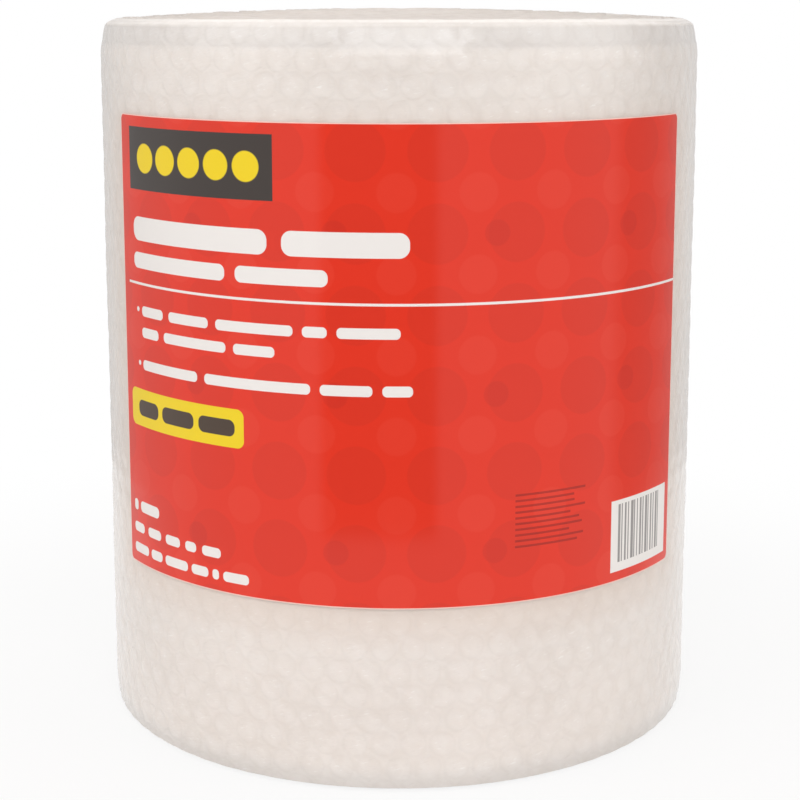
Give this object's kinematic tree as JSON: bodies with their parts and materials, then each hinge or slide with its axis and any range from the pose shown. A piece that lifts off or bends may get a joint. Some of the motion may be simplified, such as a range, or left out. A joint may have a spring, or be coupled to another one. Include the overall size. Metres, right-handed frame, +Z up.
{
  "type": "bubble wrap roll",
  "caption": "Coreless roll of clear bubble cushioning sheet standing on its end, with a soft shoulder, an open eye and a printed front label.",
  "frame": {"origin": "middle of the roll's round outline, label included, on the plane that its foot stands on", "axes": "+Z up along the roll's axis, -Y out of the label, +X to the right when facing the label"},
  "size_m": [0.259, 0.2608, 0.3048],
  "materials": {
    "wound_sheet": "soft gloss, milky where many clear layers lie over each other",
    "label": "glossy film-coated print"
  },
  "bodies": {
    "root": {"wound_sheet": "wound_sheet", "label": "label"}
  },
  "joints": []
}
